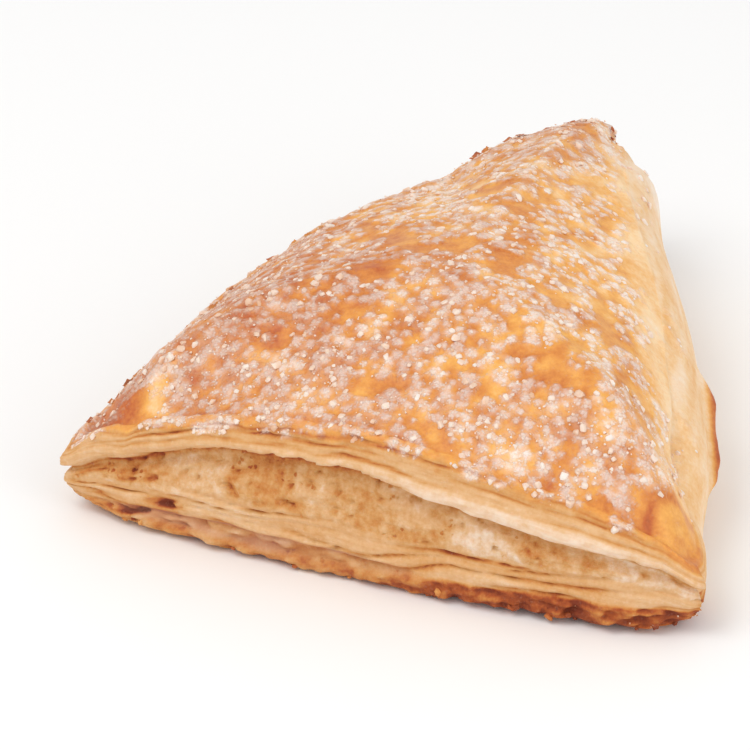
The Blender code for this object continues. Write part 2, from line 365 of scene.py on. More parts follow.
def workTheCutSides(h):
    # Steps in from the outline in mm, how browned the dough is, how much mauve painted shade it has,
    # how open it is, and the height that its fine leaves follow
    c = cutSide
    rise = (outline["rim"] - outline["base"]) / mm
    crustTop = bandTrack("crust") / rise
    hollowTop = np.maximum(bandTrack("hollow") / rise, crustTop)
    stackTop, lipBottom = bandTrack("stack"), bandTrack("lip")
    # the mauve tint is painted shade in the hollow under the leaves
    mauveShade, roll = bandTrack("mauveShade"), bandTrack("paleRoll")
    leaves = np.empty(h.shape + (3,))
    leaves[..., :2] = edgePoints
    leaves[..., 2] = h * c["height"] * mm
    wave = {name: drift(leaves, *size) for name, size in doughWaves.items()}
    patch, fine, crumb = wave["patch"], wave["fine"], wave["crumb"]
    swing = 0.028 * wave["bend"] + 0.010 * wave["kink"]
    waved = h + swing * np.sin(math.pi * h)

    # the lower stack of leaves
    def leafWaves(number, size, seed):
        ownPlace = leaves.copy()
        ownPlace[..., 2] = number * c["leafApart"] * mm
        return drift(ownPlace, size, seed)

    count = (waved - crustTop) * rise / c["leafPitch"] + 0.55 * wave["leafCount"]
    leaf = np.floor(count)
    part = count - leaf
    belly = 1 - (2 * part - 1) ** 2
    ownStep = leafWaves(leaf, (17, 17, 2), 7)
    ownStep = mix(ownStep, leafWaves(leaf + 1, (17, 17, 2), 7), ease(part, 0.72, 1.0))
    seam = (1 - belly) ** 2.2 * ease(leafWaves(np.round(count), (12, 12, 2), 8), -0.25, 0.45)
    stackIn = c["stackDepth"] - 0.35 * belly**0.7 + 0.35 * ownStep + 0.45 * seam + 0.15 * crumb

    # the open crumb between the stack and the lip
    upCrumb = np.clip((waved - stackTop) / (lipBottom - stackTop), 0, 1)
    pits = ease(wave["cell"], 0.62, 0.95)
    crumbIn = c["crumbDepth"] + 2.2 * ease(upCrumb, 0.05, 1.0) + 0.3 * crumb
    crumbIn = crumbIn + 0.14 * wave["strand"] + 0.16 * wave["cell"]
    crumbIn += 0.5 * pits - 0.28 * ease(wave["sheet"], 0.1, 0.6)

    # the upper lip: rolls with creases between them
    upLip = np.clip((waved - lipBottom) / (1 - lipBottom), 0, 1)
    folds, creases = lipCreases(upLip, leaves, rise * (1 - lipBottom))
    paleRoll = roll * (1 - ease(upLip, 0.30, 0.46))
    lipIn = np.interp(upLip, *c["lipProfile"]) + 0.6 * folds + 0.16 * crumb * (1 - folds)
    lipIn = lipIn + 0.25 * patch - 0.35 * paleRoll + (0.10 + 0.14 * (1 - roll)) * fine

    # the bottom crust and the hollow over it
    rough = 0.75 + 0.25 * ease(bandTrack("crustShade"), 0.6, 0.85)
    crustIn = c["crustDepth"] + rough * (0.50 * crumb + 0.65 * wave["lump"] + 0.48 * fine)
    hollowIn = c["hollowDepth"] + 0.6 * ease(mauveShade, 0, 0.6) + 0.45 * crumb + 0.45 * fine
    hollowIn = hollowIn + 0.35 * wave["lump"]

    ragged = 0.016 * crumb + 0.010 * wave["lump"]
    intoHollow = ease(waved + ragged, crustTop - 0.012, crustTop + 0.012)
    intoStack = ease(waved + 0.4 * ragged, hollowTop - 0.014, hollowTop + 0.014)
    intoCrumb = ease(waved, stackTop - 0.03, stackTop + 0.03)
    scallops = 0.022 * np.abs(wave["scallop"]) + 0.045 * (1 - roll) * np.abs(wave["notch"])
    intoLip = ease(waved - scallops, lipBottom - 0.010, lipBottom + 0.006)
    hollowHere = ease(hollowTop - crustTop, 0.0, 0.05) * np.ones(h.shape)

    def through(crust, hollow, stack, openCrumb, lip):  # from one band into the next
        value = mix(crust, mix(stack, hollow, hollowHere), intoHollow)
        value = mix(value, stack, intoStack)
        value = mix(value, openCrumb, intoCrumb)
        return mix(value, lip, intoLip)

    inset = through(crustIn, hollowIn, stackIn, crumbIn, lipIn)
    inset += 0.5 * patch * np.sin(math.pi * h) + 0.05 * fine
    crack = crackDepth(h) * np.clip(0.7 + 0.8 * fine, 0, 1.3)
    inset += crack
    inset += 1.5 * np.clip(1 - h * rise / 1.6, 0, 1) ** 2
    # painted shade: the crumb just under the lip is darkened where the lip's shadow falls, over the
    # deep recess there
    shadeUnderLip = ease(upCrumb, 0.80, 0.98) * (1 - ease(waved, lipBottom, lipBottom + 0.01))
    golden = ease(wave["golden"], -0.2, 0.6)
    shade = through(
        bandTrack("crustShade") + 0.16 * wave["lump"] + 0.09 * crumb + 0.12 * fine,
        c["hollowTone"] + 0.12 * crumb + 0.15 * fine + 0.12 * wave["lump"],
        c["stackTone"] + 0.50 * seam + 0.10 * ownStep + 0.06 * patch,
        bandTrack("crumbShade") + 0.24 * (golden - 0.4) + 0.18 * pits + 0.08 * wave["cell"]
        + 0.10 * wave["strand"] + 0.10 * golden * fine + 0.32 * shadeUnderLip,
        c["lipTone"] + 0.52 * creases + 0.07 * patch + 0.05 * fine + 0.16 * ease(upLip, 0.50, 0.80)
        + 0.16 * ease(upLip, 0.85, 1) - 0.19 * paleRoll,
    )
    shade = shade + 0.85 * crack
    # the hollow's mauve painted shade comes in blotches
    blotches = 0.35 + 0.65 * ease(wave["blotch"], -0.4, 0.4)
    # painted shade: a dark mauve line along the top of the hollow, where the leaves overhang it; it
    # also cuts a shallow groove
    shadeLineOverHollow = bell(waved - hollowTop, 0.011) * ease(mauveShade, 0.2, 0.6)
    mauveShadeHere = np.maximum(through(*c["mauveShade"]) * mauveShade * blotches, 0.9 * shadeLineOverHollow)
    openness = through(*c["openness"]) * np.ones(h.shape)
    level = leaves[..., 2] + swing * c["height"] * mm
    return inset + 0.35 * shadeLineOverHollow, shade + 0.26 * shadeLineOverHollow, mauveShadeHere, openness, level


# The folded side

foldSide = {
    # from the bottom up: share of the height, and mm in from the outline
    "profile": (
        (0.00, 0.05, 0.12, 0.20, 0.29, 0.42, 0.56, 0.65, 0.73, 0.81, 0.88, 0.94, 1.00),
        (5.2, 3.4, 1.8, 0.6, -0.2, -0.6, -0.4, 0.1, 0.9, 2.0, 3.2, 4.6, 6.4),
    ),
    "setBack": 0.45,
    "sliverAt": (0.33, 0.50),  # the lifted crust edge: shares of the fold's length and height
    "sliverSlant": 1.3,
    "tone": 0.23,
    "knobTone": 0.58,
}


def workTheFold(h):
    return np.interp(h, *foldSide["profile"]) + foldSide["setBack"]


def apexTongues(h):  # the two lips of the apex stick out past the core
    around = np.minimum(outline["share"], 1 - outline["share"])
    near = bell(around, 0.045) * (outline["side"] != 1)
    return pastry["apexReach"] * near * bell(h - 0.60, 0.42, 4)


def sliverAt(h):  # a thin lifted edge of crust that slants up along the folded side
    along, high = foldSide["sliverAt"]
    away = outline["share"] - along
    here = bell(away, 0.09, 6) * (outline["side"] == 1)
    return here * bell(h - high - foldSide["sliverSlant"] * away, 0.045)


def foldBulges(h):  # the shoulder by the far corner, the lifted crust and the waist, in mm
    share = outline["share"]
    shoulder = 2.9 * bell(share - 0.885, 0.085) * bell(h - 0.66, 0.36)
    ragged = 0.8 * drift(np.stack((share * 0.15, share * 0, share * 0), 1), 4, 33)
    sliver = (2.0 + 0.5 * ragged + 5 * (share - foldSide["sliverAt"][0])) * sliverAt(h)
    waist = 2.4 * bell(share - 0.10, 0.10) - 0.8 * bell(share - 0.50, 0.16)
    return np.where(outline["side"] == 1, shoulder + sliver - waist, 0.0)


def farWave():  # the lift of the far rim at every station, in mm
    lift = np.interp(1 - outline["share"], pastry["farRimAt"], pastry["farRimLift"])
    return ringMean(np.where(outline["side"] == 2, lift, 0.0), 3)


# The top crust

topCrust = {
    "blisters": ((31, 0.80), (13, 0.60), (5, 0.22)),  # size and height in mm
    "calmFold": 0.35,  # how much of the relief is left at the fold
    "apexStep": (13.5, 0.9),  # how far from the apex the crust steps down, and how deep, in mm
    "knobHeight": 1.1,
    "tone": 0.49,  # how browned it is, from 0 to 1
    "toneWaves": ((0.07, (24, 24, 60), 40), (0.10, (6, 6, 30), 41), (0.10, (2.6, 2.6, 30), 44)),
    "mostTone": 0.55,  # browner places come down halfway to this
    # browning towards the apex, with painted shade that darkens the apex end as if it were less lit
    "apexBrownAndShade": 0.22,
    "knobBrown": 0.32,
    "ridgeAt": 15.5,  # mm from the apex
    "ridgeTone": 0.10,
    "foldTone": 0.24,
    "tipTone": 0.60,
    "flapTone": 0.47,  # of the smooth flap at the near corner
    "flapReach": 9.5,  # in mm
    "flapLine": 9.2,
}


def topRelief(points):  # blisters and ripples of the top crust in mm
    t = topCrust
    relief = np.zeros(points.shape[:-1])
    for seed, (size, height) in enumerate(t["blisters"]):
        relief += height * drift(points, (size, size, size * 3), 20 + seed)
    relief += 0.5 * (1 - np.abs(drift(points, (13, 13, 40), 24)) - 0.6)
    turned = points.copy()
    turned[..., 0] = points[..., 0] * 0.80 + points[..., 1] * 0.60
    turned[..., 1] = points[..., 1] * 0.80 - points[..., 0] * 0.60
    relief += 0.55 * drift(turned, (14, 2.6, 40), 25) * closeTo(points, "far", 44)
    fromApex = fromCorner(points, "apex")
    stepAt, stepDepth = t["apexStep"]
    step = stepAt + 1.2 * drift(points, (9, 9, 40), 26)
    relief -= stepDepth * (1 - ease(fromApex, step - 1.2, step + 1.2)) * ease(fromApex, 2, 9)
    calm = t["calmFold"] + (1 - t["calmFold"]) * ease(foldDistance(points), 3 * mm, 12 * mm)
    knob = closeTo(points, "far", 9)
    return relief * calm + knob * (t["knobHeight"] + 0.35 * drift(points, 1.9, 27))


def topBake(points, towardsRim, relief):  # how browned the top crust is
    t = topCrust
    bake = t["tone"]
    for share, size, seed in t["toneWaves"]:
        bake = bake + share * drift(points, size, seed)
    bake += 0.04 * relief
    # browner towards the apex: real browning, and painted shade as if that end were less lit
    bake += t["apexBrownAndShade"] * closeTo(points, "apex", 75)
    knob = closeTo(points, "far", 12)
    bake += 0.10 * closeTo(points, "far", 26) + t["knobBrown"] * knob
    bake += 0.14 * knob * drift(points, 1.6, 47)
    bake -= 0.08 * ease(points[..., 0], -0.005, 0.035)
    bake += 0.10 * ease(towardsRim, 0.93, 1.0) * (1 - outline["fold"])
    # the cap is raised towards the apex: more painted shade there
    most = t["mostTone"] + 0.12 * closeTo(points, "apex", 70) + 0.12 * knob
    bake = np.where(bake > most, most + 0.5 * (bake - most), bake)
    bake += 0.08 * rimBand(points)

    # the pale ridge by the apex
    fromRidge = fromCorner(points, "apex") - (t["ridgeAt"] + 1.5 * drift(points, 8, 45))
    faint = 0.5 + 0.4 * ease(drift(points, 4, 46), -0.3, 0.5)
    faint *= 0.25 + 0.75 * bell(cutDistance(points), 8 * mm)
    bake = mix(bake, t["ridgeTone"], 0.85 * faint * bell(fromRidge, 3.4))

    # the pale fold, the tip of the far corner, and the flap at the near corner with its dark line
    pale = 1 - ease(foldDistance(points) / mm + 3.0 * drift(points, 11, 43), 0, 9)
    palest = t["foldTone"] - 0.14 * closeTo(points, "far", 22)
    bake = mix(bake, palest + 0.12 * drift(points, 8, 42), 0.85 * pale)
    bake = mix(bake, t["tipTone"] + 0.12 * drift(points, 1.6, 49), closeTo(points, "far", 8))
    fromNear = fromCorner(points, "near")
    bake = mix(bake, t["flapTone"], bell(fromNear, t["flapReach"], 6))
    line = t["flapLine"] + 0.8 * drift(points, 5, 48)
    return bake + 0.28 * bell(fromNear, 3.0) + 0.26 * bell(fromNear - line, 1.2)


def rimBand(points):  # along the cut side towards the near corner
    across = corners["near"] - corners["apex"]
    along = (points[..., :2] - corners["apex"]) @ across / (across @ across)
    return bell(cutDistance(points) / mm - 5, 6) * bell(along - 0.78, 0.16, 4)


sugarLay = {
    "cover": 0.44,  # 0 is bare
    "waves": ((0.46, (13, 13, 50), 50), (0.75, (5.5, 5.5, 50), 51)),
    "moreAtApex": 0.50,
    "moreAtRim": 0.50,
    "moreAtFar": 0.30,
    "lessOnCrest": 0.14,
    "lessOnFlap": 1.5,
    "lessByApex": 0.55,
    "lessOnRidge": 0.8,
    "mostCover": 1.15,
}


def sugarCover(points):  # how densely the sugar lies
    s = sugarLay
    cover = s["cover"]
    for share, size, seed in s["waves"]:
        cover = cover + share * drift(points, size, seed)
    cover += s["moreAtApex"] * closeTo(points, "apex", 60)
    cover += s["moreAtRim"] * rimBand(points)
    cover += s["moreAtFar"] * closeTo(points, "far", 30)
    edge = foldDistance(points) / mm + 2.0 * drift(points, 9, 52)
    atEnds = closeTo(points, "near", 24) + closeTo(points, "far", 24)
    edge -= 4 * np.clip(1 - atEnds, 0, 1)
    cover *= 0.05 + 0.95 * ease(edge, -2, 8)
    cover -= s["lessOnCrest"] * bell(flatDistance(points, middle), 18 * mm)
    cover -= s["lessOnFlap"] * (1 - ease(fromCorner(points, "near"), 8.0, 10.5))
    fromApex = fromCorner(points, "apex")
    cover -= s["lessByApex"] * (1 - ease(fromApex, 11, 15))
    broken = ease(drift(points, 4, 53), -0.5, 0.4)
    cover -= s["lessOnRidge"] * broken * bell(fromApex - topCrust["ridgeAt"], 2.6)
    return np.clip(cover, 0, s["mostCover"])


# The pastry: one closed skin, wrapped round the core and then worked

pastry = {
    "underRings": 8,
    "sideRings": 68,
    "topRings": 100,
    "crestRoundness": 42 * mm,
    "sugarRoom": 0.7 * mm,  # how far the crust stays below the core, so that the sugar fits
    "rimRoom": 0.35 * mm,
    "relief": 0.8,  # how much of the relief of the top is used
    # knees of the far rim, from the apex to the far corner: share of the side and lift in mm
    "farRimAt": (0.0, 0.22, 0.44, 0.58, 0.72, 0.84, 0.95, 1.0),
    "farRimLift": (0.0, -0.5, 1.3, 0.2, -1.5, 0.9, 2.3, 2.5),
    "apexReach": 2.5,  # in mm
    "farBlunt": 2.0,
}
firstSide = pastry["underRings"] + 1
firstTop = firstSide + pastry["sideRings"]
rowsOfSide = slice(firstSide, firstTop)
rowsOfTop = slice(firstTop, firstTop + pastry["topRings"])
rowsOfCrust = slice(firstTop - 22, rowsOfTop.stop)  # where sugar lumps may lie


def shapeTheSides(grid, values, h):
    p, fold = pastry, outline["fold"]
    cutIn, shade, mauveShade, openness, level = workTheCutSides(h)
    inset = mix(cutIn * outline["thin"], workTheFold(h) * outline["thin"] - foldBulges(h), fold) * mm
    inset += (p["farBlunt"] * closeTo(edgePoints, "far", 3.5) - apexTongues(h)) * mm
    tuck = outline["tuck"] * (1 - ease(h, 0, 0.4)) * (1 - fold)
    away = outline["far"] - inset * outline["lean"] + tuck
    side = grid[rowsOfSide]
    side[..., :2] = middle + outline["heading"] * away[..., None]
    rimRelief = topRelief(side[-1]) * p["relief"] * mm * outline["thin"]
    rimHeight = outline["rim"] - p["rimRoom"] * (1 - fold) + rimRelief
    rimHeight += farWave() * mm
    side[..., 2] = outline["base"] + (rimHeight - outline["base"]) * h

    foldShade = foldSide["tone"] + 0.09 * drift(side, (9, 9, 3), 30)
    foldShade += 0.05 * drift(side, (3, 12, 1.5), 32)
    foldShade += 0.50 * (1 - ease(h, 0.02, 0.12)) * ease(outline["share"], 0.03, 0.12)
    foldShade += 0.55 * ease(sliverAt(h), 0.2, 0.9)
    foldShade -= 0.24 * closeTo(side, "far", 22)
    knob = closeTo(side, "far", 7.5) * ease(h, 0.3, 0.8)
    foldShade = mix(foldShade, foldSide["knobTone"] + 0.14 * drift(side, 1.6, 37), knob)
    spill = 0.05 * drift(side, (6, 6, 60), 36)
    reached = mix(ease(h + spill, 0.91, 0.97), ease(h, 0.62, 0.92), fold)
    found = {
        "bake": mix(shade, foldShade, fold),
        "cut": mix(1.0, 0.4, fold),
        "mauveShade": mauveShade * (1 - fold),
        "open": openness * (1 - fold),
        "level": level,
        "sugar": sugarCover(side) * reached,
    }
    for name, value in found.items():
        values[name][rowsOfSide] = value
    return rimHeight


def shapeTheUnderside(grid, values):
    edge = grid[firstSide]
    for k in range(firstSide):
        share = (k / firstSide) ** 0.8
        ring = grid[k]
        ring[:, :2] = middle + (edge[:, :2] - middle) * share
        ring[:, 2] = edge[:, 2] * max(0.0, (share - 0.8) / 0.2) ** 2
        values["bake"][k] = 0.78 + 0.14 * drift(ring, 8, 31)
    values["bake"][0] = 0.8
    values["cut"][:firstSide] = 1.0


def shapeTheTop(grid, values, rimHeight):
    p = pastry
    rim, top = grid[firstTop - 1], grid[rowsOfTop]
    out = flatDistance(rim, middle)
    shares = (1 - np.arange(1, p["topRings"] + 1) / (p["topRings"] + 1)) ** 0.74
    for ring, share in zip(top, shares):
        reached = share * (share * out + (1 - share) * p["crestRoundness"])
        ring[:, :2] = middle + (rim[:, :2] - middle) * (reached / out)[:, None]
        for i, (x, y) in enumerate(ring[:, :2].tolist()):
            ring[i, 2] = tree.ray_cast(Vector((x, y, 0.2)), Vector((0, 0, -1)))[0].z
    towardsRim = shares[:, None] * np.ones(walkRound["stations"])
    relief = topRelief(top) + farWave() * 1.25 * ease(towardsRim, 0.45, 1.0)
    room = p["sugarRoom"] * ease(foldDistance(top), 2 * mm, 12 * mm)
    joined = ease(1 - towardsRim, 0.0, 0.10)
    lift = mix(rimHeight - outline["rim"], relief * p["relief"] * mm - room, joined)
    top[..., 2] = np.maximum(top[..., 2], outline["rim"]) + lift
    values["bake"][rowsOfTop] = topBake(top, towardsRim, relief)
    values["sugar"][rowsOfTop] = sugarCover(top)
    values["level"][rowsOfTop] = cutSide["height"] * mm + (1 - towardsRim) * out


def browningOfTheRim(grid, values, h):  # the crust's colour runs a little way down the cut sides
    side = grid[rowsOfSide]
    wander = 0.025 * drift(side, (5, 5, 60), 34) + 0.018 * drift(side, (1.8, 1.8, 60), 35)
    crustEdge = ease(h + wander, 0.93, 0.985) * (1 - outline["fold"])
    tip = closeTo(side, "near", 6) * ease(h, 0.80, 0.95)
    bake, cut = values["bake"][rowsOfSide], values["cut"][rowsOfSide]
    bake[:] = mix(mix(bake, 0.50, 0.7 * crustEdge), 0.62, tip)
    cut[:] = mix(mix(cut, 0.0, crustEdge), 0.0, tip)


def lowestFirst(face):  # a face from its lowest vertex on, so that faces sort the same way each run
    face = tuple(face)
    first = face.index(min(face))
    return face[first:] + face[:first]


def makePastry():
    stations, rings = walkRound["stations"], rowsOfTop.stop - 1
    grid = np.zeros((rings + 2, stations, 3))
    names = ("bake", "cut", "mauveShade", "open", "level", "sugar", "veil")
    values = {name: np.zeros((rings + 2, stations)) for name in names}
    h = np.linspace(0, 1, pastry["sideRings"])[:, None] * np.ones(stations)
    rimHeight = shapeTheSides(grid, values, h)
    shapeTheUnderside(grid, values)
    shapeTheTop(grid, values, rimHeight)

    cover = values["sugar"][rowsOfCrust]
    height, veil = lumpRelief(grid[rowsOfCrust], lumpPlaces(grid[rowsOfCrust], cover))
    grid[rowsOfCrust][..., 2] += height * (cover > 0)
    values["veil"][rowsOfCrust] = veil * ease(cover, 0, 0.1)
    grid[-1] = grid[-2].mean(axis=0)
    for value in values.values():
        value[-1] = value[-2].mean()
    browningOfTheRim(grid, values, h)

    nothingSelected()
    bpy.ops.mesh.primitive_uv_sphere_add(segments=stations, ring_count=rings + 1, radius=1)
    piece = bpy.context.object
    piece.name = piece.data.name = "pastryDough"
    ball = readPoints(piece.data)
    turn = np.arctan2(ball[:, 1], ball[:, 0]) / (2 * math.pi)
    column = np.round(turn * stations).astype(int) % stations
    rise = 1 - np.arccos(np.clip(ball[:, 2], -1, 1)) / math.pi
    row = np.round(rise * (rings + 1)).astype(int)
    faces = sorted(lowestFirst(f.vertices) for f in piece.data.polygons)
    piece.data.clear_geometry()
    piece.data.from_pydata(grid[row, column].tolist(), [], faces)
    for name, value in values.items():
        writeValues(piece.data, name, value[row, column])
    onlySelected(piece)
    bpy.ops.object.shade_smooth()
    say(f"dough made, {len(piece.data.polygons)} faces")
    return piece, grid[rowsOfSide]


# Sugar: half-melted lumps, which are part of the crust, and crystals lying on them

sugarLump = {
    "count": 1750,
    "sizes": (0.9 * mm, 2.7 * mm),
    "height": 0.50 * mm,
    "closeness": 0.62,
    "tries": 12,  # places tried for each lump
    "seed": 5,
}
coarseSugar = {
    "grains": 1050,
    "sizes": (0.6 * mm, 1.6 * mm),
    "bevel": 0.20,
    "closeness": 0.66,  # 1 keeps the grains apart by their own size
    "flatness": (0.45, 0.75),
    "sink": -0.14,
    "tone": (0.20, 0.6, 0.09),  # its own, for each step of browning of the crust, and its spread
    "foot": 0.26,  # how much darker the grains are at their foot
    "jitter": 0.10,
    "seed": 7,
}
fineSugar = {
    "grains": 2200,
    "sizes": (0.30 * mm, 0.70 * mm),
    "closeness": 0.5,
    "flatness": (0.5, 0.9),
    "sink": -0.08,
    "tone": (0.20, 0.6, 0.09),
    "foot": 0.20,
    "jitter": 0.10,
    "seed": 8,
}
crumbs = {
    "grains": 55,
    "sizes": (0.4 * mm, 1.4 * mm),
    "closeness": 0.7,
    "flatness": (0.5, 0.9),
    "sink": 0.05,
    "tone": (0.34, 0.4, 0.12),
    "foot": 0.10,
    "jitter": 0.22,
    "seed": 9,
}
burntBits = {
    "grains": 44,
    "sizes": (0.35 * mm, 1.1 * mm),
    "closeness": 1.0,
    "flatness": (0.35, 0.7),
    "sink": 0.05,
    "tone": (0.42, 0.1, 0.14),
    "foot": 0.05,
    "jitter": 0.24,
    "seed": 10,
}


def apart(spot, size, taken, cell, closeness):  # whether a spot is free, and takes it if it is
    x, y, z = (spot // cell).astype(int)
    steps = (-1, 0, 1)
    for key in ((x + dx, y + dy, z + dz) for dx in steps for dy in steps for dz in steps):
        for other, otherSize in taken.get(key, ()):
            if math.dist(spot, other) < closeness * 0.5 * (size + otherSize):
                return False
    taken.setdefault((x, y, z), []).append((spot, size))
    return True


def lumpPlaces(points, cover):  # rows of points right round, with the sugar cover at each
    s = sugarLump
    least, most = s["sizes"]
    draw = np.random.RandomState(s["seed"])
    across = np.linalg.norm(np.roll(points, -1, 1) - points, axis=2)[:-1]
    along = np.linalg.norm(points[1:] - points[:-1], axis=2)
    weights = (across * along * np.clip(cover[:-1], 0, None) ** 1.3).ravel()
    rows, columns = along.shape
    picks = draw.choice(rows * columns, size=s["count"] * s["tries"], p=weights / weights.sum())
    taken, found = {}, []
    for pick in picks:
        if len(found) == s["count"]:
            break
        row, column = divmod(int(pick), columns)
        here, above = points[row, column], points[row + 1, column]
        beside = points[row, (column + 1) % columns]
        spot = here + draw.uniform() * (beside - here) + draw.uniform() * (above - here)
        radius = least + (most - least) * draw.beta(1.8, 2.2)
        radius *= 1 + 0.40 * closeTo(spot, "far", 55)
        if apart(spot, 2 * radius, taken, 2 * most, s["closeness"]):
            found.append((spot, radius, draw.uniform(0.55, 1.0)))
    say(f"{len(found)} sugar lumps")
    return found


def lumpRelief(points, lumps):  # the height of the lumps, and how white they are
    near = KDTree(len(lumps))
    for i, (spot, _, _) in enumerate(lumps):
        near.insert(spot, i)
    near.balance()
    warp = (0.32 * drift(points, 1.4, 60) + 0.30 * drift(points, 3.2, 61)).ravel()
    height, veil = np.zeros(warp.shape), np.zeros(warp.shape)
    for n, place in enumerate(points.reshape(-1, 3).tolist()):
        for _, i, gap in near.find_n(place, 4):
            _, radius, share = lumps[i]
            full = 1 - (gap / radius * (1 + warp[n])) ** 2
            if full > 0:
                height[n] = max(height[n], share * full**0.6)
                veil[n] = max(veil[n], full)
    askew = sum(closeTo(points, name, 22) for name in corners)
    found = []
    for values in (height * sugarLump["height"], veil):
        sharp = values.reshape(points.shape[:-1])
        found.append(mix(sharp, 1.3 * evened(evened(sharp)), np.clip(0.8 * askew, 0, 1)))
    return found


def evened(values):  # each value mixed with those of the neighbouring points
    along = 0.5 * values + 0.25 * (np.roll(values, 1, 1) + np.roll(values, -1, 1))
    both = along.copy()
    both[1:-1] = 0.5 * along[1:-1] + 0.25 * (along[2:] + along[:-2])
    return both


def crystal():  # a cube with its edges and corners taken off
    nothingSelected()
    bpy.ops.mesh.primitive_cube_add(size=1)
    piece = bpy.context.object
    bpy.ops.object.mode_set(mode="EDIT")
    bpy.ops.mesh.select_all(action="SELECT")
    bpy.ops.mesh.bevel(offset=coarseSugar["bevel"], segments=1)
    bpy.ops.object.mode_set(mode="OBJECT")
    return takeMesh(piece)


def bead():
    nothingSelected()
    bpy.ops.mesh.primitive_ico_sphere_add(subdivisions=1, radius=0.5)
    return takeMesh(bpy.context.object)


def takeMesh(piece):  # a small shape's points and faces, for copying
    shape = readPoints(piece.data), [tuple(f.vertices) for f in piece.data.polygons]
    mesh = piece.data
    bpy.data.objects.remove(piece)
    bpy.data.meshes.remove(mesh)
    return shape


def joinedPiece(name, parts):  # one mesh of many small ones: points, faces and tone of each
    allFaces, start = [], 0
    for points, faces, _ in parts:
        allFaces += [tuple(v + start for v in face) for face in faces]
        start += len(points)
    mesh = bpy.data.meshes.new(name)
    mesh.from_pydata(np.concatenate([points for points, _, _ in parts]).tolist(), [], allFaces)
    piece = bpy.data.objects.new(name, mesh)
    bpy.context.scene.collection.objects.link(piece)
    writeValues(mesh, "tone", np.concatenate([tone for _, _, tone in parts]))
    say(f"{name}: {len(parts)} made, {len(mesh.polygons)} faces")
    return piece


def crustFaces(dough):
    mesh = dough.data
    count = len(mesh.polygons)
    faces = {}
    for name, width in (("area", 1), ("normal", 3), ("center", 3)):
        layer = np.empty(count * width)
        mesh.polygons.foreach_get(name, layer)
        faces[name] = layer.reshape(-1, width) if width > 1 else layer
    corner = np.array([f.vertices[0] for f in mesh.polygons])
    for name in ("bake", "sugar", "veil", "cut"):
        layer = np.empty(len(mesh.vertices), dtype=np.float32)
        mesh.attributes[name].data.foreach_get("value", layer)
        faces[name] = layer[corner]
    return faces


grainTries = 6  # places tried for each grain
paleCrust = 0.42  # crust that is browner than this stains the grains on it


def scatter(settings, faces, weights):
    # Picks places on the crust, thicker where the weights are higher, and keeps them apart
    weights = faces["area"] * weights
    least, most = settings["sizes"]
    draw = np.random.RandomState(settings["seed"])
    picks = draw.choice(len(weights), size=settings["grains"] * grainTries, p=weights / weights.sum())
    taken, found = {}, []
    for face in picks:
        if len(found) == settings["grains"]:
            break
        spot = faces["center"][face] + draw.uniform(-0.5, 0.5, 3) * math.sqrt(faces["area"][face])
        size = least + (most - least) * draw.beta(1.7, 2.8)
        if apart(spot, size, taken, most, settings["closeness"]):
            found.append((spot, faces["normal"][face], size, faces["bake"][face]))
    return found


def strew(name, shape, places, settings):
    points, faces = shape
    draw = random.Random(settings["seed"])
    base, browned, spread = settings["tone"]
    parts = []
    for spot, normal, size, bake in places:
        lay = Vector(normal).to_track_quat("Z", "Y").to_matrix()
        spin = Matrix.Rotation(draw.uniform(0, 2 * math.pi), 3, "Z")
        tip = Matrix.Rotation(draw.gauss(0, 0.5), 3, "X") @ Matrix.Rotation(draw.gauss(0, 0.5), 3, "Y")
        sizes = draw.uniform(0.8, 1.3), draw.uniform(0.7, 1.0), draw.uniform(0.7, 1.0)
        stretch = Matrix.Diagonal(sizes)
        squash = Matrix.Diagonal((1, 1, draw.uniform(*settings["flatness"])))
        jitter = np.array([[draw.uniform(-1, 1) for _ in range(3)] for _ in points])
        laid = (points + jitter * settings["jitter"]) @ np.array(squash @ spin @ tip @ stretch).T
        place = np.array(spot) + np.array(normal) * size * settings["sink"]
        lying = laid @ np.array(lay).T * size + place
        lying[:, 2] += max(0, 0.02 * mm - lying[:, 2].min())  # none goes below the floor
        foot = 1 - ease(laid[:, 2], -0.15, 0.30)
        tone = base + browned * max(0, bake - paleCrust) + draw.gauss(0, spread)
        parts.append((lying, faces, np.clip(tone + settings["foot"] * foot, 0, 1)))
    return joinedPiece(name, parts)


# Materials


def tones(*rows):  # stops of a colour ramp: their place, red, green and blue
    return [(at, paint(*colour)) for at, *colour in rows]


crustTones = tones(
    (0.00, 251, 233, 212),
    (0.22, 249, 211, 160),
    (0.42, 239, 174, 86),
    (0.58, 220, 142, 64),
    (0.76, 190, 96, 42),
    (1.00, 112, 50, 24),
)
doughTones = tones(
    (0.00, 240, 216, 193),
    (0.25, 226, 182, 134),
    (0.45, 213, 156, 93),
    (0.62, 202, 130, 62),
    (0.80, 172, 84, 34),
    (1.00, 124, 48, 18),
)
# the tint of the painted shade in the hollows of the cut sides
mauveShadeTone = paint(202, 150, 126)
# melted sugar on pale, brown and dark crust: the rim of a lump, and its middle
meltedTones = tones((0.35, 246, 206, 172), (0.62, 216, 166, 140), (0.78, 196, 142, 114))
whitestTones = tones((0.40, 252, 236, 224), (0.62, 228, 200, 186), (0.78, 214, 182, 164))
crystalTones = tones(
    (0.00, 255, 242, 232),
    (0.30, 248, 222, 204),
    (0.60, 232, 184, 150),
    (1.00, 200, 128, 80),
)


